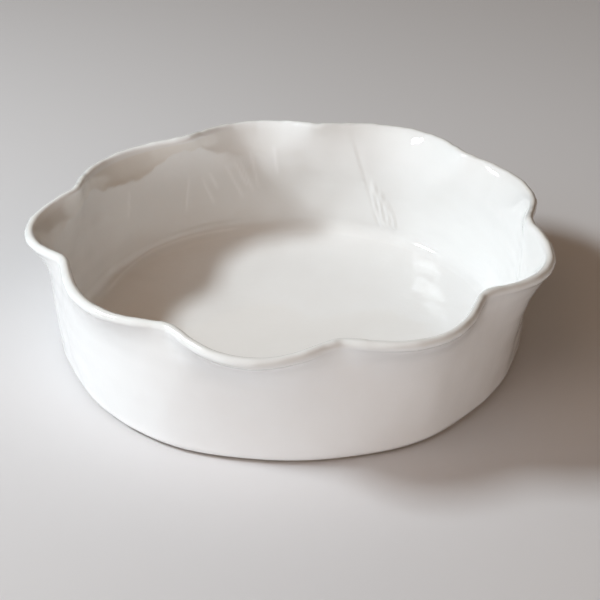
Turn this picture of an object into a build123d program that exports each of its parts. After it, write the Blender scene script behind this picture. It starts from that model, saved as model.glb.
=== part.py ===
from build123d import *
import os
from math import acos, atan, cos, degrees, pi, radians, sin, sqrt

# A deep round pie dish of glazed clay with a rim of nine flared lobes. The origin is the centre of
# the base, +Z is up, and the first notch of the rim points along +X. All lengths are millimetres.

# Rim: the middle of the rounded lip
notch_radius = 125.0
rim_height = 70.5
lip_radius = 2.7
lobe_reach = 12.0
lobe_droop = 2.6
flare_depth = 28.0
flare_power = 2.5
lip_blend_depth = 8.0

# Wall and floor, measured on the glaze
wall_foot_radius = 123.7
wall_top_radius = 126.3
wall_bulge = 1.4
wall_foot_thickness = 7.6
wall_top_thickness = 4.7
wall_swell = 1.0
base_round = 5.7
floor_height = 7.2
cove_radius = 8.0

# Glaze and the bare foot
glaze_thickness = 0.5
glaze_line_height = 1.8
foot_height = 1.2
foot_edge_round = 0.4

# Lobes, counted anticlockwise from the notch on +X
lobe_count = 9
lobe_pitch = 360 / lobe_count

# The dish is shaped by hand, so no two lobes are alike. At each notch: how far round, out and up
# it lies from its even place, and how far the wall under it swells.
notch_turn_shares = (-0.01, -0.02, 0.085, 0.01, 0.05, 0.04, 0.05, 0.01, -0.005)
notch_out_shares = (0.07, 0.22, -0.02, -0.18, -0.05, -0.13, 0.03, 0.2, -0.04)
notch_rise_shares = (-0.05, 0.16, -0.04, -0.1, -0.07, 0, 0.06, -0.14, -0.11)
notch_swell_shares = (1, 0, 0, 0, -0.6, -1.5, 0.9, -0.8, -1.6)

# How round the bottom of each notch is
notch_round_shares = (0.3, 0.2, 0.28, 0.28, 0.2, 0.2, 0.25, 0.25, 0.3)

# At the lobe that follows each notch: its reach and droop, the swell of the wall under it, and
# how deep its flare goes down the wall
lobe_reach_shares = (0.83, 1.05, 1.01, 0.77, 1.16, 0.56, 1.07, 1.18, 1.09)
lobe_droop_shares = (1.06, 0.89, 1.04, 0.87, 1.07, 0.76, 1.07, 0.05, 0.96)
lobe_swell_shares = (0, 0, 0, -0.2, 2, -0.5, -0.9, 0.8, -1.2)
lobe_flare_shares = (1, 1.5, 1.6, 1.2, 1, 1, 1, 1.2, 1.9)

# Where the curves round the dish have their points
lobe_point_shares = (0, 0.03, 0.07, 0.13, 0.21, 0.32, 0.44, 0.56, 0.68, 0.79, 0.87, 0.93, 0.97)

# Places along the section: round the base, up the wall, over the lip and down the cove
base_arc_shares = (0, 0.2, 0.4, 0.6, 0.8, 1)
wall_point_shares = (0.12, 0.24, 0.36, 0.46, 0.55, 0.63, 0.7, 0.76, 0.82, 0.87, 0.92, 0.96)
cove_arc_shares = (0, 0.17, 0.33, 0.5, 0.67, 0.83, 1)
lip_neck_share = 1.3
lip_start_angle = -25
lip_end_angle = 172
lip_arc_shares = (0, 0.09, 0.18, 0.27, 0.36, 0.45, 0.54, 0.63, 0.72, 0.81, 0.9, 1)


def ease(start, end, share):
    # Goes from start to end with a level beginning and a level end
    return start + (end - start) * share**2 * (3 - 2 * share)


def lobe_shape(lobe, share):
    # 0 in the notches at both ends of a lobe and 1 in its middle, with rounded notches
    soft = ease(notch_round_shares[lobe], notch_round_shares[(lobe + 1) % lobe_count], share)
    return (sqrt(sin(pi * share) ** 2 + soft**2) - soft) / (sqrt(1 + soft**2) - soft)


def rim_point(lobe, share):
    # Radius and height of the middle of the lip at a share of the way along one lobe
    following = (lobe + 1) % lobe_count
    bow = lobe_shape(lobe, share)
    out = ease(notch_out_shares[lobe], notch_out_shares[following], share)
    rise = ease(notch_rise_shares[lobe], notch_rise_shares[following], share)
    radius = notch_radius + lobe_reach * (out + lobe_reach_shares[lobe] * bow)
    height = rim_height + lobe_droop * (rise - lobe_droop_shares[lobe] * bow)
    return radius, height


def swell_point(lobe, share):
    # How far the wall stands out from its round form at a share of the way along one lobe
    following = (lobe + 1) % lobe_count
    if share < 0.5:
        swell = ease(notch_swell_shares[lobe], lobe_swell_shares[lobe], 2 * share)
    else:
        swell = ease(lobe_swell_shares[lobe], notch_swell_shares[following], 2 * share - 1)
    return wall_swell * swell


def section(lobe, share, inset):
    # The dish's section as (radius, height) points: up the outside, over the lip and down the
    # inside to the edge of the floor. The inset moves it into the material, from glaze to clay.
    rim_radius, rim_z = rim_point(lobe, share)
    swell = swell_point(lobe, share)
    inward = min(1, 2 * share, 2 - 2 * share)
    depth = flare_depth * ease(1, lobe_flare_shares[lobe], inward)

    def wall_at(height):
        # Middle radius, half thickness and outward slope of the wall. It opens to the rim like a
        # trumpet, over the depth of the flare.
        up = (height - base_round) / (rim_height - base_round)
        half = ease(wall_foot_thickness, wall_top_thickness, min(1, up)) / 2
        plain = wall_foot_radius + (wall_top_radius - wall_foot_radius) * up
        plain += 4 * wall_bulge * up * (1 - up) + swell - half
        near = max(0, 1 - (rim_z - height) / depth)
        slope = (rim_radius - plain) * flare_power * near ** (flare_power - 1) / depth
        return plain + (rim_radius - plain) * near**flare_power, half, slope

    # Round of the base, from the level of the foot and then from the edge of the glaze
    base_radius = base_round - inset
    foot_angle = acos((base_round - foot_height) / base_radius)
    glaze_angle = acos((base_round - glaze_line_height) / base_radius)
    angles = [foot_angle] + [glaze_angle + (pi / 2 - glaze_angle) * part for part in base_arc_shares]
    middle, half, slope = wall_at(base_round)
    base_middle = middle + half - inset - base_radius
    points = [
        (base_middle + base_radius * sin(angle), base_round - base_radius * cos(angle))
        for angle in angles
    ]

    # Outside of the wall, up to the neck under the lip
    tilt = atan(max(0, wall_at(rim_z)[2]))
    neck_height = rim_z - lip_neck_share * lip_radius * cos(tilt)
    for part in wall_point_shares:
        height = base_round + (neck_height - base_round) * part
        middle, half, slope = wall_at(height)
        points.append((middle + (half - inset) * sqrt(1 + slope**2), height))

    # Lip, square to the wall below it and level with its inner face
    lip = lip_radius - inset
    start, end = lip_start_angle - degrees(tilt), lip_end_angle - degrees(tilt)
    for part in lip_arc_shares:
        angle = radians(start + (end - start) * part)
        points.append((rim_radius + lip * cos(angle), rim_z + lip * sin(angle)))

    # Inside of the wall, which thickens smoothly into the lip
    cove_top = floor_height + cove_radius
    for part in reversed(wall_point_shares):
        height = cove_top + (rim_z - cove_top) * part
        middle, half, slope = wall_at(height)
        near = max(0, 1 - (rim_z - height) / lip_blend_depth)
        half += (lip_radius - wall_top_thickness / 2) * near**2
        points.append((middle - (half - inset) * sqrt(1 + slope**2), height))

    # Cove, a quarter round that ends level with the floor
    cove = cove_radius + inset
    middle, half, slope = wall_at(cove_top)
    cove_middle = middle - half + inset - cove
    for part in cove_arc_shares:
        angle = pi / 2 * part
        points.append((cove_middle + cove * cos(angle), cove_top - cove * sin(angle)))
    return points


def section_rings(inset):
    # Closed curves round the dish, one for each point of its section
    places = [(lobe, share) for lobe in range(lobe_count) for share in lobe_point_shares]
    parameters = [lobe + share for lobe, share in places] + [lobe_count]
    angles = []
    for lobe, share in places:
        turn = notch_turn_shares[lobe]
        following_turn = notch_turn_shares[(lobe + 1) % lobe_count]
        angles.append(radians(lobe_pitch * (lobe + share + turn + (following_turn - turn) * share)))
    rings = []
    for ring_points in zip(*[section(lobe, share, inset) for lobe, share in places]):
        curve = [
            (radius * cos(angle), radius * sin(angle), height)
            for angle, (radius, height) in zip(angles, ring_points)
        ]
        with BuildLine() as ring:
            add(Edge.make_spline(curve, periodic=True, parameters=parameters))
        rings.append(ring.wire())
    return rings


def dish_skin(rings):
    # The faces between the rings, with the floor but without the flat face at the lowest ring
    return Solid.make_loft(rings, ruled=True).faces().sort_by(Axis.Z)[1:]


clay_rings = section_rings(glaze_thickness)
glaze_rings = section_rings(0)

# Fired clay body, standing on a low, flat, bare foot
foot_radius = wall_foot_radius - base_round
with BuildPart() as clay_body:
    add(Solid.make_loft(clay_rings, ruled=True))
    with BuildSketch() as foot:
        Circle(foot_radius)
    extrude(amount=foot_height)
    fillet(clay_body.edges().group_by(Axis.Z)[0], foot_edge_round)
clay_body.part.label = "clay_body"

# Glaze, from its own surface down to the clay, open underneath where the bare base stands out.
# The first ring of each set lies at the level of the foot, below the glaze.
glaze_outside = dish_skin(glaze_rings[1:])
glaze_inside = dish_skin(clay_rings[1:])
glaze_edge = Face(glaze_rings[1], [clay_rings[1]])
with BuildPart() as glaze:
    add(Solid(Shell([*glaze_outside, *glaze_inside, glaze_edge])))
glaze.part.label = "glaze"

os.makedirs("parts", exist_ok=True)
for piece in (clay_body, glaze):
    export_step(piece.part, f"parts/{piece.part.label}.step")
    box = piece.part.bounding_box().size
    print(f"{piece.part.label}: {box.X:.1f} x {box.Y:.1f} x {box.Z:.1f} mm, {piece.part.volume:.0f} mm3")
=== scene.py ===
import bpy
import numpy as np
from math import cos, pi, radians, sin
from mathutils import Matrix, Vector


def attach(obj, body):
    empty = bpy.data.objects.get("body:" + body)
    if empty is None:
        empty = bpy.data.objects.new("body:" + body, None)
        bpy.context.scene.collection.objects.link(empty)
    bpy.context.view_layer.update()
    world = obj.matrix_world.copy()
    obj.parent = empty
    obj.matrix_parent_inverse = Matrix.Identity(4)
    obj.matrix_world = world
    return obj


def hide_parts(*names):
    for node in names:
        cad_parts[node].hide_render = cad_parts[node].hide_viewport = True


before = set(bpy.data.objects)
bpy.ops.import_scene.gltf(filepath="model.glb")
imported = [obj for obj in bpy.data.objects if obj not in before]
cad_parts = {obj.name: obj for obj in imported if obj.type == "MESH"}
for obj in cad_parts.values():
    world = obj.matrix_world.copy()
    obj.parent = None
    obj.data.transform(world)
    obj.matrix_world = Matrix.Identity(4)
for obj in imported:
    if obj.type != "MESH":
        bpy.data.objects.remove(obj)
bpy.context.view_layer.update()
print("frame loaded")


# Camera

camera = {
    "place": (0.00468, -0.78034, 0.46522),
    "tilt": 29.56,        # degrees below level
    "roll": -0.12,
    "lens": 99.0,
    "sensor": 36.0,       # width in millimetres, as the lens
    "clip": (0.01, 100.0),
}


def makeCamera():
    data = bpy.data.cameras.new("camera")
    data.sensor_width = camera["sensor"]
    data.lens = camera["lens"]
    data.clip_start, data.clip_end = camera["clip"]
    obj = bpy.data.objects.new("camera", data)
    bpy.context.collection.objects.link(obj)
    tilt = Matrix.Rotation(radians(90 - camera["tilt"]), 4, "X")
    roll = Matrix.Rotation(radians(camera["roll"]), 4, "Z")
    obj.matrix_world = Matrix.Translation(camera["place"]) @ tilt @ roll
    bpy.context.scene.camera = obj


makeCamera()
print("camera placed")


# Light and floor

light = {
    # Each lamp: azimuth and elevation it shines from, distance, width and height, power and colour
    "lamps": {
        "window": ((180, 39.5), 1.5, (0.44, 0.165), 6.7, (0.875, 0.955, 0.995)),
        "frontGlow": ((268, 5), 1.8, (1.6, 0.22), 1.6, (0.97, 0.97, 1.0)),
        "sideFill": ((216, 30), 2.0, (1.5, 0.9), 7.8, (0.78, 0.89, 0.98)),
        "rightFill": ((300, 35), 2.2, (1.4, 1.0), 5.6, (1.0, 0.69, 0.45)),
        "topFill": ((225, 60), 1.8, (1.2, 1.2), 4.3, (1.0, 0.70, 0.50)),
        "backFill": ((90, 31), 2.2, (2.2, 0.95), 3.2, (1.0, 0.82, 0.62)),
    },
    "aim": (0, 0, 0.03),
    # These stand for light thrown back by the table and the room, so gloss doesn't mirror them
    "unmirrored": ("frontGlow", "sideFill", "rightFill", "topFill"),
    # How far these fan out, in degrees, so that the table under them isn't lit too brightly
    "fans": {"window": 110, "frontGlow": 70},
    "widestFan": 180,
    "roomColour": (1.0, 0.52, 0.20),
    "roomStrength": 0.02,
}

tableTop = {
    "half": 6.0,
    "colour": (0.71, 0.70, 0.71),
    "roughness": 0.9,
    "gloss": 0.2,
}


def aimedLamp(name):
    (azimuth, elevation), distance, size, power, colour = light["lamps"][name]
    azimuth, elevation = radians(azimuth), radians(elevation)
    data = bpy.data.lights.new(name, "AREA")
    data.shape = "RECTANGLE"
    data.size, data.size_y = size
    data.energy = power
    data.color = colour
    data.spread = radians(light["fans"].get(name, light["widestFan"]))
    obj = bpy.data.objects.new(name, data)
    bpy.context.collection.objects.link(obj)
    way = Vector((cos(elevation) * cos(azimuth), cos(elevation) * sin(azimuth), sin(elevation)))
    turn = way.to_track_quat("Z", "Y").to_matrix().to_4x4()
    obj.matrix_world = Matrix.Translation(way * distance + Vector(light["aim"])) @ turn
    obj.visible_glossy = name not in light["unmirrored"]


def makeLight():
    for name in light["lamps"]:
        aimedLamp(name)
    world = bpy.data.worlds.new("room")
    world.use_nodes = True
    background = world.node_tree.nodes["Background"]
    background.inputs["Color"].default_value = (*light["roomColour"], 1)
    background.inputs["Strength"].default_value = light["roomStrength"]
    bpy.context.scene.world = world
    bpy.context.scene.view_settings.view_transform = "Standard"


def newMaterial(name):
    material = bpy.data.materials.new(name)
    material.use_nodes = True
    tree = material.node_tree
    return material, tree, tree.nodes["Principled BSDF"]


def dulled(shader, look):
    # A matt surface with little gloss
    shader.inputs["Roughness"].default_value = look["roughness"]
    shader.inputs["Specular IOR Level"].default_value = look["gloss"]


def makeFloor():
    half = tableTop["half"]
    corners = [(-half, -half, 0), (half, -half, 0), (half, half, 0), (-half, half, 0)]
    mesh = bpy.data.meshes.new("tableTop")
    mesh.from_pydata(corners, [], [(0, 1, 2, 3)])
    obj = bpy.data.objects.new("tableTop", mesh)
    bpy.context.collection.objects.link(obj)
    material, tree, shader = newMaterial("paleTable")
    shader.inputs["Base Color"].default_value = (*tableTop["colour"], 1)
    dulled(shader, tableTop)
    mesh.materials.append(material)


makeLight()
makeFloor()
print("light and floor made")


# Shape of the dish

dish = {
    "lobeCount": 9,
    "notchRadius": 0.125,
    "rimHeight": 0.0705,
    "lipRadius": 0.0027,
    "lobeReach": 0.012,
    "lobeDroop": 0.0026,
    "flareDepth": 0.028,
    "flarePower": 2.5,
    "lipBlendDepth": 0.008,
    "lipArc": (-25, 172),        # degrees up from outwards, before it tilts with the wall
    "lipNeck": 1.3,              # how far the neck lies under the middle of the lip, in lip radii
    "wallFootRadius": 0.1237,
    "wallTopRadius": 0.1263,
    "wallBulge": 0.0014,
    "wallFootThickness": 0.0076,
    "wallTopThickness": 0.0047,
    "wallSwell": 0.001,
    "baseRound": 0.0057,
    "floorHeight": 0.0072,
    "coveRadius": 0.008,
    "glazeThickness": 0.0005,
    "glazeLineHeight": 0.0018,
    # One number for each notch, anticlockwise from +X: how far round, out and up it lies, how far
    # the wall swells under it, and how round it is
    "notchTurn": (-0.01, -0.02, 0.085, 0.01, 0.05, 0.04, 0.05, 0.01, -0.005),
    "notchOut": (0.07, 0.22, -0.02, -0.18, -0.05, -0.13, 0.03, 0.2, -0.04),
    "notchRise": (-0.05, 0.16, -0.04, -0.1, -0.07, 0, 0.06, -0.14, -0.11),
    "notchSwell": (1, 0, 0, 0, -0.6, -1.5, 0.9, -0.8, -1.6),
    "notchRound": (0.3, 0.2, 0.28, 0.28, 0.2, 0.2, 0.25, 0.25, 0.3),
    # One number for each lobe, from the one after the first notch
    "lobeOut": (0.83, 1.05, 1.01, 0.77, 1.16, 0.56, 1.07, 1.18, 1.09),
    "lobeDrop": (1.06, 0.89, 1.04, 0.87, 1.07, 0.76, 1.07, 0.05, 0.96),
    "lobeSwell": (0, 0, 0, -0.2, 2, -0.5, -0.9, 0.8, -1.2),
    "lobeFlare": (1, 1.5, 1.6, 1.2, 1, 1, 1, 1.2, 1.9),
    # How fine the surface is. Columns crowd near the notches and rows near the neck under the lip.
    "columnCrowding": 0.45,
    "rowCrowding": 1.6,
    "lobeColumns": (40, 186, 92, 76, 40, 40, 40, 40, 40),
    # Rows of each stretch of the section, on the glaze and on its hidden face against the clay
    "baseRows": (8, 3),
    "outsideRows": (20, 8),
    "lipRows": (18, 8),
    "insideRows": (52, 8),
    "coveRows": (22, 5),
    "floorRows": (9, 2),
    "edgeRows": 5,
    "calmRows": 4,               # rows from the glaze line up over which the relief grows
    "baseWay": 0.1,              # way along the section that the round of the base takes up
}


def ease(start, end, share):
    # From start to end, level at both ends
    return start + (end - start) * share**2 * (3 - 2 * share)


def easedUp(value, start, end):
    # 0 up to the start and 1 from the end on, eased between them
    return ease(0, 1, np.clip((value - start) / (end - start), 0, 1))


def columnPlaces():
    # Lobe number and share along it for every column, closer together near the notches:
    # share = u - crowding sin(2 pi u) / (2 pi)
    counts = dish["lobeColumns"]
    lobes = np.repeat(np.arange(dish["lobeCount"]), counts)
    u = np.concatenate([np.arange(count) / count for count in counts])
    return lobes, u - dish["columnCrowding"] * np.sin(2 * pi * u) / (2 * pi)


def following(lobes):
    # The notch that ends a lobe has the next lobe's number
    return (lobes + 1) % dish["lobeCount"]


def atNotches(name, lobes, share):
    # A value given for the notches, eased from each notch to the next
    values = np.array(dish[name], float)
    return ease(values[lobes], values[following(lobes)], share)


def rimLine(lobes, share):
    # Radius and height of the middle of the lip: an evened half wave bows each lobe out and down
    soft = atNotches("notchRound", lobes, share)
    bow = (np.sqrt(np.sin(pi * share) ** 2 + soft**2) - soft) / (np.sqrt(1 + soft**2) - soft)
    out = atNotches("notchOut", lobes, share) + np.array(dish["lobeOut"])[lobes] * bow
    rise = atNotches("notchRise", lobes, share) - np.array(dish["lobeDrop"])[lobes] * bow
    radius = dish["notchRadius"] + dish["lobeReach"] * out
    return radius, dish["rimHeight"] + dish["lobeDroop"] * rise


def wallSwell(lobes, share):
    # How far the wall stands out of its round form, from notch to lobe and back to notch
    notch = np.array(dish["notchSwell"], float)
    middle = np.array(dish["lobeSwell"], float)
    first = ease(notch[lobes], middle[lobes], np.minimum(1, 2 * share))
    second = ease(middle[lobes], notch[following(lobes)], np.maximum(0, 2 * share - 1))
    return dish["wallSwell"] * np.where(share < 0.5, first, second)


def columnAngles(lobes, share):
    # Angle of every column in radians. Notches turned from their even places turn the columns
    # between them too.
    turn = np.array(dish["notchTurn"], float)
    turned = turn[lobes] + (turn[following(lobes)] - turn[lobes]) * share
    return radians(360 / dish["lobeCount"]) * (lobes + share + turned)


def skinRows(lobes, share, face):
    # Rows of (radius, height) from the glaze line up the outside, over the lip and down the
    # inside to the middle of the floor. Face 0 is the glaze and face 1 lies on the clay.
    # The way along the section is 0 to 1 outside, to 2 on the lip, to 3 inside, to 4 on the cove
    # and to 5 on the floor.
    inset = dish["glazeThickness"] * face
    rimRadius, rimHeight = rimLine(lobes, share)
    swell = wallSwell(lobes, share)
    inward = np.minimum(1, np.minimum(2 * share, 2 - 2 * share))
    depth = dish["flareDepth"] * ease(1, np.array(dish["lobeFlare"])[lobes], inward)
    rows = []
    way = []

    def wallAt(height):
        # Middle radius, half thickness and outward slope of the wall. It opens to the rim like a
        # trumpet: near is 1 at the rim and 0 where the flare ends, and its power bends the wall.
        up = (height - dish["baseRound"]) / (dish["rimHeight"] - dish["baseRound"])
        half = ease(dish["wallFootThickness"], dish["wallTopThickness"], np.minimum(1, up)) / 2
        plain = dish["wallFootRadius"] + (dish["wallTopRadius"] - dish["wallFootRadius"]) * up
        plain = plain + 4 * dish["wallBulge"] * up * (1 - up) + swell - half
        near = np.maximum(0, 1 - (rimHeight - height) / depth)
        power = dish["flarePower"]
        slope = (rimRadius - plain) * power * near ** (power - 1) / depth
        return plain + (rimRadius - plain) * near**power, half, slope

    # Round of the base: a circle of the base radius less the inset
    baseRadius = dish["baseRound"] - inset
    start = np.arccos((dish["baseRound"] - dish["glazeLineHeight"]) / baseRadius)
    middle, half, slope = wallAt(dish["baseRound"])
    for part in np.linspace(0, 1, dish["baseRows"][face]):
        angle = start + (pi / 2 - start) * part
        radius = middle + half - inset - baseRadius + baseRadius * sin(angle)
        rows.append((radius, dish["baseRound"] - baseRadius * cos(angle) + 0 * swell))
        way.append(dish["baseWay"] * part)

    # Outside of the wall, up to the neck under the lip
    tilt = np.arctan(np.maximum(0, wallAt(rimHeight)[2]))
    neck = rimHeight - dish["lipNeck"] * dish["lipRadius"] * np.cos(tilt)
    for even in np.linspace(0, 1, dish["outsideRows"][face] + 1)[1:]:
        part = 1 - (1 - even) ** dish["rowCrowding"]
        height = dish["baseRound"] + (neck - dish["baseRound"]) * part
        middle, half, slope = wallAt(height)
        rows.append((middle + (half - inset) * np.sqrt(1 + slope**2), height))
        way.append(dish["baseWay"] + (1 - dish["baseWay"]) * part)

    # Lip: a part circle square to the wall below it
    lip = dish["lipRadius"] - inset
    first, last = dish["lipArc"]
    for part in np.linspace(0, 1, dish["lipRows"][face]):
        angle = np.radians(first + (last - first) * part)
        rows.append((rimRadius + lip * np.cos(angle - tilt), rimHeight + lip * np.sin(angle - tilt)))
        way.append(1 + part)

    # Inside of the wall, which thickens smoothly into the lip, down to the cove
    coveTop = dish["floorHeight"] + dish["coveRadius"]
    for part in np.linspace(1, 0, dish["insideRows"][face] + 1)[:-1]:
        height = coveTop + (rimHeight - coveTop) * part
        middle, half, slope = wallAt(height)
        near = np.maximum(0, 1 - (rimHeight - height) / dish["lipBlendDepth"])
        half = half + (dish["lipRadius"] - dish["wallTopThickness"] / 2) * near**2
        rows.append((middle - (half - inset) * np.sqrt(1 + slope**2), height))
        way.append(3 - part)

    # Cove: a quarter round that ends level with the floor, then the floor
    cove = dish["coveRadius"] + inset
    middle, half, slope = wallAt(coveTop)
    edge = middle - half + inset - cove
    for part in np.linspace(0, 1, dish["coveRows"][face]):
        angle = pi / 2 * part
        rows.append((edge + cove * cos(angle), coveTop - cove * sin(angle) + 0 * swell))
        way.append(3 + part)
    edge, level = rows[-1]
    for part in np.linspace(1, 0, dish["floorRows"][face] + 1)[1:-1]:
        rows.append((edge * part, level))
        way.append(5 - part)
    radii, heights = np.array(rows).transpose(1, 0, 2)
    return radii, heights, np.array(way)[:, None]


# Hand-made relief of the glaze. Angles are degrees round the dish, the rest is in metres.
relief = {
    # Radius that distances round the wall are measured on
    "wallRadius": 0.118,
    # Soft waves: turns round the dish, waves per metre of height, phase and size
    "softWaves": ((5, 6, 0.4, 0.00020), (11, -9, 1.9, 0.00013), (23, 14, 4.0, 0.00008),
                  (41, -25, 2.2, 0.00004), (3, 75, 0.8, 0.00008), (-7, 118, 2.9, 0.00005),
                  (29, 35, 5.1, 0.00006)),
    "lipWaves": ((37, 0, 0.5, 0.00013), (67, 0, 2.0, 0.00013), (113, 0, 4.1, 0.00009)),
    # Waves per metre along x and y, phase and size
    "floorWaves": ((18, 9, 1.0, 0.00007), (-14, 31, 2.5, 0.00004)),
    # Radius where the soft waves start to take over from the floor's, and over how far
    "wavesGrow": (0.06, 0.045),
    "lipCalm": 0.5,                    # share of the soft waves that the lip loses
    "lipFade": 1.4,                    # how soon the lip's waves and colour fade beside its middle
    # Where the glaze ran together under the flare: angle and height
    "runLine": ((88, 0.0555), (96, 0.053), (104, 0.053), (111, 0.0575), (116, 0.063),
                (121, 0.065), (126.5, 0.0625), (131, 0.057), (137, 0.0543), (143.5, 0.0565),
                (149, 0.058), (153.5, 0.063), (157, 0.0635), (162.5, 0.061), (172.5, 0.0575),
                (186, 0.057), (198, 0.06), (206, 0.064)),
    "lineWaves": ((47, 1, 0.0005), (83, 2, 0.00035)),    # turns, phase and size
    # Painted shade above the line, a darker warm tint of the glaze under the flares: angle and share
    "runPaintedShade": ((88, 0.05), (106, 0.15), (115, 0.6), (126, 0.9), (150, 1), (158, 0.6),
                (172, 0.25), (206, 0.15)),
    "paintedShadeEdge": 0.0006,                # half the width over which the painted shade fades in
    "runEnds": (90, 99, 199, 207),     # angles where the line begins, is full, fades and ends
    "runSize": 0.00035,
    "runFall": (0.0014, 0.007),        # above and below the line
    # A fold down the wall: angle at the foot and under the rim, with their heights
    "fold": ((64, 0.013), (74, 0.064)),
    "foldSize": (0.00045, 0.0004),     # its edge and the swelling beside it
    "foldWidth": (0.007, 0.0014, 0.007),    # of its rise, its drop and the swelling
    # Shares of its way up where the fold begins, is full, fades and ends
    "foldEnds": (-0.05, 0.1, 0.85, 1.05),
    # Runs of glaze beside the fold: distance from it, top, bottom and height of each
    "runs": ((0.0035, 0.037, 0.012, 0.00060), (0.0066, 0.042, 0.013, 0.00066),
             (0.0098, 0.038, 0.012, 0.00062), (0.0126, 0.032, 0.014, 0.00055)),
    "runFlanks": (0.0019, 0.0021),     # how wide a run is on its left and right
    "runTaper": (6, 8),                # how soon a run is full from its top and its bottom
    "runUneven": (0.14, 0.0068, 900),  # share, wave length and phase per metre of place
    "runSway": (0.0005, 0.017, 500),   # size, wave length and phase per metre of place
    "runFeet": 0.02,                   # how softly its sides meet the wall
    "runGroove": 0.1,                  # depth of the groove along its crest, as a share
    # A fine bead where the wall turns into the floor, whose paler colour is a painted highlight:
    # angles, way along the section
    "beadLine": ((104, 3.47), (122, 3.40), (136, 3.42), (155, 3.75), (162, 3.85)),
    "beadEase": 5,                     # degrees over which it fades in and out
    "beadSize": 0.00018,
    "beadWidth": 0.0008,
    # Brush marks: angle and height of both ends
    "brushMarks": (((140, 0.052), (142.5, 0.034)), ((120, 0.050), (122, 0.024)),
                   ((116.5, 0.046), (113, 0.026)), ((114, 0.048), (111.5, 0.035)),
                   ((109, 0.050), (104, 0.027)), ((106.5, 0.053), (102.5, 0.033)),
                   ((105, 0.053), (101, 0.030)), ((101.5, 0.056), (99.5, 0.032)),
                   ((95, 0.059), (94, 0.040))),
    "brushTaper": 5,                   # how soon a mark is full from its ends
    "brushSize": 0.00014,
    "brushWidth": 0.0009,
    # Outside, a dent under a notch and a soft standing swelling: angle, height, half width,
    # half height and size
    "outsideForms": ((244, 0.062, 0.007, 0.007, -0.0004), (304, 0.036, 0.007, 0.021, 0.0005)),
    # Glaze gathers in the neck under the lip: reach along the section, how far each row moves to
    # the middle of its neighbours, and how often
    "neckReach": 0.05,
    "neckPull": 0.5,
    "neckTurns": 14,
    "deepest": 0.0003,
}


def arcFrom(angle, degrees):
    # Distance round the wall from an angle given in degrees, positive anticlockwise
    return relief["wallRadius"] * ((angle - np.radians(degrees) + pi) % (2 * pi) - pi)


def waves(names, angle, height):
    # Sum of size sin(turns angle + 2 pi times the waves per metre times height + phase)
    return sum(size * np.sin(turns * angle + 2 * pi * perMetre * height + phase)
               for turns, perMetre, phase, size in relief[names])


def runParts(angle, height, inside):
    # Height of the bead of glaze at the run line, and the share of painted shade above it.
    # The bead falls off as a bell above the line and as an exponential below it.
    degrees = np.degrees(angle) % 360
    places, heights = np.array(relief["runLine"]).T
    line = np.interp(degrees, places, heights)
    for turns, phase, size in relief["lineWaves"]:
        line = line + size * np.sin(turns * angle + phase)
    start, full, fading, end = relief["runEnds"]
    mask = easedUp(degrees, start, full) * (1 - easedUp(degrees, fading, end)) * inside
    under = line - height
    above, below = relief["runFall"]
    bead = np.where(under < 0, np.exp(-(under / above) ** 2), np.exp(-np.abs(under) / below))
    places, shares = np.array(relief["runPaintedShade"]).T
    edge = relief["paintedShadeEdge"]
    # Share of painted shade above the line: darker glaze under the flares
    paintedShadeShare = easedUp(-under, -edge, edge) * mask * np.interp(degrees, places, shares)
    return relief["runSize"] * bead * mask, paintedShadeShare


def runAcross(across):
    # A ramp with a soft foot on each side of a run's middle, with a groove along the crest
    left, right = relief["runFlanks"]
    ramp = np.where(across < 0, 1 + across / left, 1 - across / right)
    ramp = 0.5 * (ramp + np.sqrt(ramp**2 + relief["runFeet"])) * (np.abs(across) < 2 * left)
    return np.minimum(ramp, 2 - ramp - relief["runGroove"])


def foldHeight(angle, height, inside):
    # A soft rise that drops off at the fold's edge, then a swelling t t exp(2 - 2 t) beside it
    # and the runs of glaze
    (lowAngle, lowHeight), (topAngle, topHeight) = relief["fold"]
    share = (height - lowHeight) / (topHeight - lowHeight)
    aside = -arcFrom(angle, lowAngle + (topAngle - lowAngle) * share)
    edge, swelling = relief["foldSize"]
    rise, drop, width = relief["foldWidth"]
    t = np.clip(aside / width, 0, None)
    fold = edge * np.where(aside < 0, np.exp(-np.abs(aside) / rise), np.exp(-(aside / drop) ** 2))
    fold = fold + swelling * t**2 * np.exp(2 - 2 * t)
    start, full, fading, end = relief["foldEnds"]
    fold = fold * easedUp(share, start, full) * (1 - easedUp(share, fading, end))
    fromTop, fromBottom = relief["runTaper"]
    uneven, unevenLength, unevenPhase = relief["runUneven"]
    sway, swayLength, swayPhase = relief["runSway"]
    for place, top, bottom, size in relief["runs"]:
        along = np.clip((top - height) / (top - bottom), 0, 1)
        taper = np.clip(fromTop * along, 0, 1) * np.clip(fromBottom * (1 - along), 0, 1)
        tall = 1 + uneven * np.sin(2 * pi * height / unevenLength + unevenPhase * place)
        swayed = place + sway * np.sin(2 * pi * height / swayLength + swayPhase * place)
        fold = np.maximum(fold, fold + size * taper * tall * runAcross(aside - swayed))
    return fold * inside


def brushHeight(angle, height, inside):
    # Each mark is a bell across its line, tapered to both ends
    total = 0 * height * angle
    radius = relief["wallRadius"]
    for (startAngle, startHeight), (endAngle, endHeight) in relief["brushMarks"]:
        across = radius * radians(endAngle - startAngle)
        down = endHeight - startHeight
        length = (across**2 + down**2) ** 0.5
        fromStart, above = radius * (angle - radians(startAngle)), height - startHeight
        along = np.clip((fromStart * across + above * down) / length**2, 0, 1)
        off = (fromStart * down - above * across) / length
        taper = np.clip(relief["brushTaper"] * along * (1 - along), 0, 1)
        total = np.maximum(total, taper * np.exp(-(off / relief["brushWidth"]) ** 2))
    return total * inside


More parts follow.
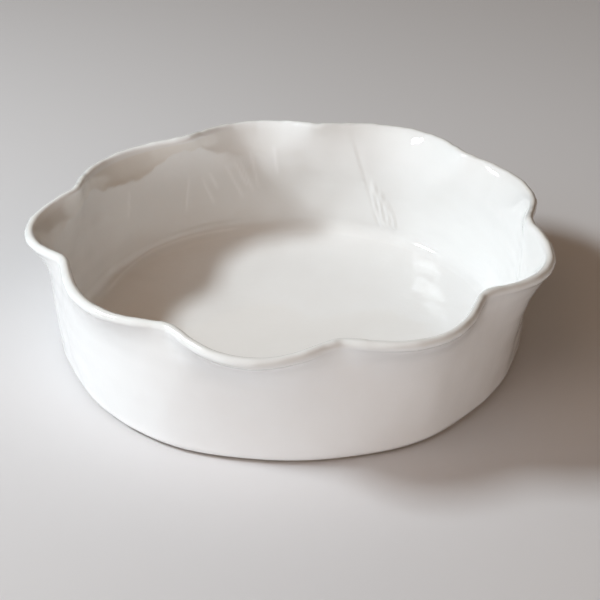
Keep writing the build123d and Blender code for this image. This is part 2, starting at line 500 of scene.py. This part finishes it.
def coveBead(angle, way):
    # A fine bell along a line in the cove, eased in and out at its ends
    degrees = np.degrees(angle) % 360
    places, ways = np.array(relief["beadLine"]).T
    off = (way - np.interp(degrees, places, ways)) * dish["coveRadius"] * pi / 2
    fade = relief["beadEase"]
    ends = np.clip((degrees - places[0]) / fade, 0, 1) * np.clip((places[-1] - degrees) / fade, 0, 1)
    return ends * np.exp(-(off / relief["beadWidth"]) ** 2) * ((way > 3) & (way < 4))


def glazeRelief(rings, angle, way):
    # Height of the relief on every point, and the attributes that the glaze's look reads
    x, y, height = rings[..., 0], rings[..., 1], rings[..., 2]
    inside = ((way > 2) & (way < 4)).astype(float) + 0 * height
    outside = (way < 1).astype(float) + 0 * height
    onLip = np.clip(1 - np.abs(way - 1.5) * relief["lipFade"], 0, 1)
    growStart, growWidth = relief["wavesGrow"]
    toWall = np.clip((np.hypot(x, y) - growStart) / growWidth, 0, 1) ** 2
    total = waves("softWaves", angle, height) * toWall * (1 - relief["lipCalm"] * onLip)
    total = total + waves("lipWaves", angle, height) * onLip
    floorShare = (1 - toWall) * (way > 3)
    for alongX, alongY, phase, size in relief["floorWaves"]:
        total = total + size * np.sin(2 * pi * (alongX * x + alongY * y) + phase) * floorShare
    # The run's second part is the share of painted shade above its line
    run, paintedShadeShare = runParts(angle, height, inside)
    marks = brushHeight(angle, height, inside)
    bead = coveBead(angle, way)
    total = total + run + foldHeight(angle, height, inside)
    total = total + relief["brushSize"] * marks + relief["beadSize"] * bead
    for degrees, middle, halfWidth, halfHeight, size in relief["outsideForms"]:
        aside, above = arcFrom(angle, degrees) / halfWidth, (height - middle) / halfHeight
        total = total + size * np.exp(-(aside**2) - above**2) * outside
    # A hollow never reaches the clay
    total = np.maximum(total, -relief["deepest"])
    # Paler glaze on the brush marks, and a painted highlight along the cove bead
    paleMarksAndHighlight = np.maximum(marks, bead)
    return total, {"paintedFlareShade": paintedShadeShare, "paleMarksAndCoveHighlight": paleMarksAndHighlight, "lipGlaze": onLip + 0 * height}


def evenedNeck(rings, way):
    # Near the neck each row moves towards the middle of its two neighbours, again and again
    nearNeck = np.exp(-((way - 1) / relief["neckReach"]) ** 2)
    share = relief["neckPull"] * nearNeck[1:-1, :, None]
    for turn in range(relief["neckTurns"]):
        middle = (rings[:-2] + rings[2:]) / 2
        rings = np.concatenate([rings[:1], rings[1:-1] + share * (middle - rings[1:-1]), rings[-1:]])
    return rings


def raised(rings, heights):
    # Moves each point along the surface normal, which is the cross product of the steps round
    # the dish and along the section
    around = np.roll(rings, -1, axis=1) - np.roll(rings, 1, axis=1)
    along = np.gradient(rings, axis=0)
    normal = np.cross(around, along)
    normal /= np.linalg.norm(normal, axis=-1, keepdims=True)
    return rings + normal * heights[..., None]


def fanVolume(points, triangles):
    # Signed volume between the triangles and the origin
    a, b, c = (points[triangles[:, corner]] for corner in range(3))
    return np.einsum("ij,ij->i", a, np.cross(b, c)).sum() / 6


def smoothObject(name, points, faces):
    # An object from points and from arrays of faces, each array with its own number of corners
    loops = np.concatenate([f.reshape(-1) for f in faces])
    sizes = np.concatenate([np.full(len(f), f.shape[1]) for f in faces])
    starts = np.concatenate([[0], np.cumsum(sizes)[:-1]])
    mesh = bpy.data.meshes.new(name)
    mesh.vertices.add(len(points))
    mesh.vertices.foreach_set("co", points.astype(np.float32).reshape(-1))
    mesh.loops.add(len(loops))
    mesh.loops.foreach_set("vertex_index", loops.astype(np.int32))
    mesh.polygons.add(len(sizes))
    mesh.polygons.foreach_set("loop_start", starts.astype(np.int32))
    mesh.polygons.foreach_set("loop_total", sizes.astype(np.int32))
    mesh.polygons.foreach_set("use_smooth", np.ones(len(sizes), bool))
    mesh.update(calc_edges=True)
    mesh.validate()
    obj = bpy.data.objects.new(name, mesh)
    bpy.context.collection.objects.link(obj)
    return obj


def closedSkin(name, rings, topPole, bottomPole):
    # A mesh from rings of points, rows by columns by xyz, joined round and closed by a fan of
    # triangles at each end
    rows, columns = rings.shape[:2]
    points = np.concatenate([rings.reshape(-1, 3), [bottomPole], [topPole]])
    index = np.arange(rows * columns).reshape(rows, columns)
    beside = np.roll(index, -1, axis=1)
    quads = np.stack([index[:-1], beside[:-1], beside[1:], index[1:]], -1).reshape(-1, 4)
    bottom = np.stack([np.full(columns, rows * columns), beside[0], index[0]], -1)
    top = np.stack([index[-1], beside[-1], np.full(columns, rows * columns + 1)], -1)
    # The faces point outwards when the volume inside them is positive
    triangles = np.concatenate([quads[:, :3], quads[:, [0, 2, 3]], bottom, top])
    faces = [quads, bottom, top]
    if fanVolume(points, triangles) < 0:
        faces = [f[:, ::-1] for f in faces]
    return smoothObject(name, points, faces)


def addAttribute(mesh, name, values):
    attribute = mesh.attributes.new(name, "FLOAT", "POINT")
    attribute.data.foreach_set("value", values.astype(np.float32).reshape(-1))


def makeGlaze():
    lobes, share = columnPlaces()
    angle = columnAngles(lobes, share)
    outerRadius, outerHeight, way = skinRows(lobes, share, 0)
    innerRadius, innerHeight = skinRows(lobes, share, 1)[:2]
    outer = np.stack([outerRadius * np.cos(angle), outerRadius * np.sin(angle), outerHeight], -1)
    outer = evenedNeck(outer, way)
    heights, looks = glazeRelief(outer, angle, way)
    growing = np.clip(np.arange(len(way)) / dish["calmRows"], 0, 1)[:, None]
    outer = raised(outer, heights * growing)

    # The lower edge of the glaze is rolled: a flattened half round from the clay out to the glaze
    middleRadius = (outerRadius[0] + innerRadius[0]) / 2
    halfEdge = (outerRadius[0] - innerRadius[0]) / 2
    rolls = pi * np.linspace(0, 1, dish["edgeRows"] + 2)[1:-1, None]
    edgeRadius = middleRadius - halfEdge * np.cos(rolls)
    edgeHeight = outerHeight[0] - halfEdge / 2 * np.sin(rolls)

    radius = np.concatenate([innerRadius[::-1], edgeRadius])
    height = np.concatenate([innerHeight[::-1], edgeHeight])
    hidden = np.stack([radius * np.cos(angle), radius * np.sin(angle), height], -1)
    rings = np.concatenate([hidden, outer])
    top = dish["floorHeight"]
    skin = closedSkin("glazeSkin", rings, (0, 0, top), (0, 0, top - dish["glazeThickness"]))
    plain = np.zeros(hidden.shape[:2])
    for name, values in looks.items():
        addAttribute(skin.data, name, np.concatenate([plain.reshape(-1), values.reshape(-1), [0, 0]]))
    print("glaze skin:", sum(len(f.vertices) - 2 for f in skin.data.polygons), "triangles")
    return skin


# Finishes

# Noise is given by its scale per metre and detail, then by the range of it that is used, or by
# how high it stands as a bump
glazeLook = {
    "colour": (0.885, 0.885, 0.88),
    "cloudColour": (0.865, 0.862, 0.855),  # soft clouds in the white
    "clouds": (22.0, 4, 0.38, 0.62),
    "paintedShadeColour": (0.80, 0.765, 0.715),    # painted shade under the flares, darker and warmer
    # paler glaze on the brush marks, and a painted highlight along the cove bead
    "paleMarksAndHighlightColour": (0.95, 0.95, 0.95),
    "lipColour": (0.83, 0.838, 0.825),     # thinner and greener on the lip
    "roughness": (0.03, 0.075),
    "dullPatches": (66.0, 3, 0.35, 0.65),
    "index": 1.55,
    "skin": (260.0, 2, 0.00006),           # fine unevenness of the surface
    "pinhole": (266.0, 0.1262, 0.0635),    # angle, distance out and height
    "pinholeRadii": (0.0005, 0.0015),      # where it is full and where it ends
    # a dark spot with no hollow under it: the bared clay and the painted shade of the pit
    "pinholeClayAndShadeColour": (0.33, 0.27, 0.21),
}

clayLook = {
    "colour": (0.70, 0.60, 0.48),
    "darkColour": (0.56, 0.46, 0.35),
    "clouds": (60.0, 5, 0.35, 0.65),
    "speckColour": (0.30, 0.22, 0.15),
    "specks": (420.0, 1, 0.68, 0.74),
    "roughness": 0.9,
    "gloss": 0.2,
    "grain": (1600.0, 3, 0.0001),
}


def noiseNode(tree, scale, detail):
    # Noise on the object's own coordinates
    place = tree.nodes.new("ShaderNodeTexCoord")
    noise = tree.nodes.new("ShaderNodeTexNoise")
    noise.inputs["Scale"].default_value = scale
    noise.inputs["Detail"].default_value = detail
    tree.links.new(place.outputs["Object"], noise.inputs["Vector"])
    return noise.outputs["Fac"]


def spread(tree, value, low, high, toLow, toHigh):
    # Carries the range from low to high over to another range
    node = tree.nodes.new("ShaderNodeMapRange")
    for name, number in (("From Min", low), ("From Max", high), ("To Min", toLow), ("To Max", toHigh)):
        node.inputs[name].default_value = number
    tree.links.new(value, node.inputs["Value"])
    return node.outputs["Result"]


def noiseShare(tree, noise, toLow=0, toHigh=1):
    # The used range of a noise, carried over to 0 to 1 or to another range
    scale, detail, low, high = noise
    return spread(tree, noiseNode(tree, scale, detail), low, high, toLow, toHigh)


def mixed(tree, share, first, second):
    # Mixes two colours, each a colour or an output socket, through the node's colour sockets
    node = tree.nodes.new("ShaderNodeMix")
    node.data_type = "RGBA"
    tree.links.new(share, node.inputs["Factor"])
    for place, colour in ((6, first), (7, second)):
        if isinstance(colour, tuple):
            node.inputs[place].default_value = (*colour, 1)
        else:
            tree.links.new(colour, node.inputs[place])
    return node.outputs[2]


def attributeOf(tree, name):
    node = tree.nodes.new("ShaderNodeAttribute")
    node.attribute_name = name
    return node.outputs["Fac"]


def bumped(tree, shader, noise):
    scale, detail, height = noise
    value = noiseNode(tree, scale, detail)
    bump = tree.nodes.new("ShaderNodeBump")
    bump.inputs["Strength"].default_value = 1.0
    bump.inputs["Distance"].default_value = height
    tree.links.new(value, bump.inputs["Height"])
    tree.links.new(bump.outputs["Normal"], shader.inputs["Normal"])


def pinholeShare(tree):
    # 1 near the pinhole's place on the outside, falling to 0 around it
    degrees, out, height = glazeLook["pinhole"]
    full, end = glazeLook["pinholeRadii"]
    spot = (out * cos(radians(degrees)), out * sin(radians(degrees)), height)
    place = tree.nodes.new("ShaderNodeTexCoord")
    apart = tree.nodes.new("ShaderNodeVectorMath")
    apart.operation = "DISTANCE"
    apart.inputs[1].default_value = spot
    tree.links.new(place.outputs["Object"], apart.inputs[0])
    return spread(tree, apart.outputs["Value"], full, end, 1, 0)


def glazeFinish():
    material, tree, shader = newMaterial("milkyGlaze")
    look = glazeLook
    colour = mixed(tree, noiseShare(tree, look["clouds"]), look["colour"], look["cloudColour"])
    # Painted shade: darker, warmer glaze above the run line under the back-left flares
    colour = mixed(tree, attributeOf(tree, "paintedFlareShade"), colour, look["paintedShadeColour"])
    # Paler glaze on the brush marks, and a painted highlight along the cove bead
    colour = mixed(tree, attributeOf(tree, "paleMarksAndCoveHighlight"), colour, look["paleMarksAndHighlightColour"])
    colour = mixed(tree, attributeOf(tree, "lipGlaze"), colour, look["lipColour"])
    # The pinhole is a dark spot: bared clay and painted shade of its pit, with no hollow modelled
    colour = mixed(tree, pinholeShare(tree), colour, look["pinholeClayAndShadeColour"])
    tree.links.new(colour, shader.inputs["Base Color"])
    roughness = noiseShare(tree, look["dullPatches"], *look["roughness"])
    tree.links.new(roughness, shader.inputs["Roughness"])
    shader.inputs["IOR"].default_value = look["index"]
    bumped(tree, shader, look["skin"])
    return material


def clayFinish():
    material, tree, shader = newMaterial("bareClay")
    look = clayLook
    colour = mixed(tree, noiseShare(tree, look["clouds"]), look["colour"], look["darkColour"])
    colour = mixed(tree, noiseShare(tree, look["specks"]), colour, look["speckColour"])
    tree.links.new(colour, shader.inputs["Base Color"])
    dulled(shader, look)
    bumped(tree, shader, look["grain"])
    return material


glazeSkin = makeGlaze()
glazeSkin.data.materials.append(glazeFinish())
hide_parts("glaze")
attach(glazeSkin, "root")
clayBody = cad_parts["clay_body"]
clay = clayFinish()
for slotPlace in clayBody.material_slots:
    slotPlace.material = clay
print("glaze and clay finished")
